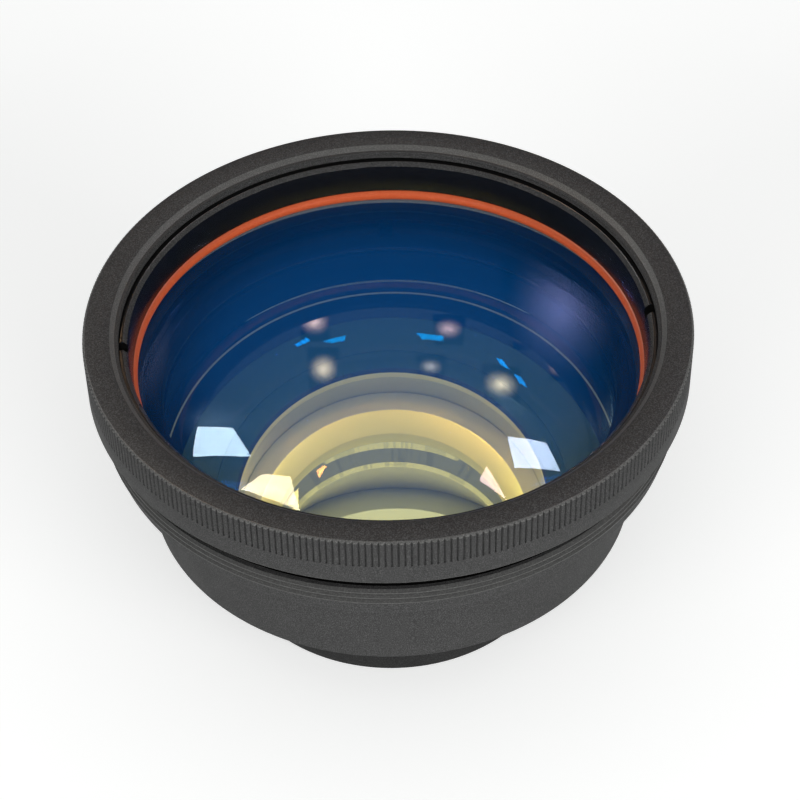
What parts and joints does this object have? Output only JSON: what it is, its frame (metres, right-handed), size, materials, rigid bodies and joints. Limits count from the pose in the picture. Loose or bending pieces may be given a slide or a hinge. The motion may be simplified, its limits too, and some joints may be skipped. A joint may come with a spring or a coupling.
{
  "type": "f theta scan lens",
  "caption": "Flat-field laser scan lens in a black flanged barrel: threaded body, narrow entrance nose and a wide sealed exit window with an orange seal.",
  "frame": {"origin": "centre of the nose's end face, where the lens stands", "axes": "+Z along the optical axis, from the entrance nose up through the exit window; the window ring's spanner notches lie 4 degrees from the X axis"},
  "size_m": [0.088, 0.088, 0.0485],
  "materials": {
    "black_anodised": "matte black anodised aluminium",
    "ring_anodised": "satin black anodised aluminium",
    "clear_anodised": "clear anodised turned aluminium",
    "orange_silicone": "soft orange silicone",
    "black_rubber": "black rubber",
    "window_glass": "polished, coated flat glass",
    "lens_glass": "polished, blue anti-reflection coating",
    "screw_steel": "blackened steel"
  },
  "bodies": {
    "root": {"barrel": "black_anodised", "entrance_cell": "black_anodised", "window_retaining_ring": "ring_anodised", "exit_lens_retaining_ring": "ring_anodised", "entrance_lens_retaining_ring": "clear_anodised", "lens_spacer": "ring_anodised", "window_o_ring": "orange_silicone", "exit_lens_o_ring": "black_rubber", "cell_o_ring": "black_rubber", "window_gasket": "black_rubber", "protective_window": "window_glass", "exit_lens": "lens_glass", "middle_lens": "lens_glass", "entrance_lens": "lens_glass", "cell_lock_screws": "screw_steel"}
  },
  "joints": []
}
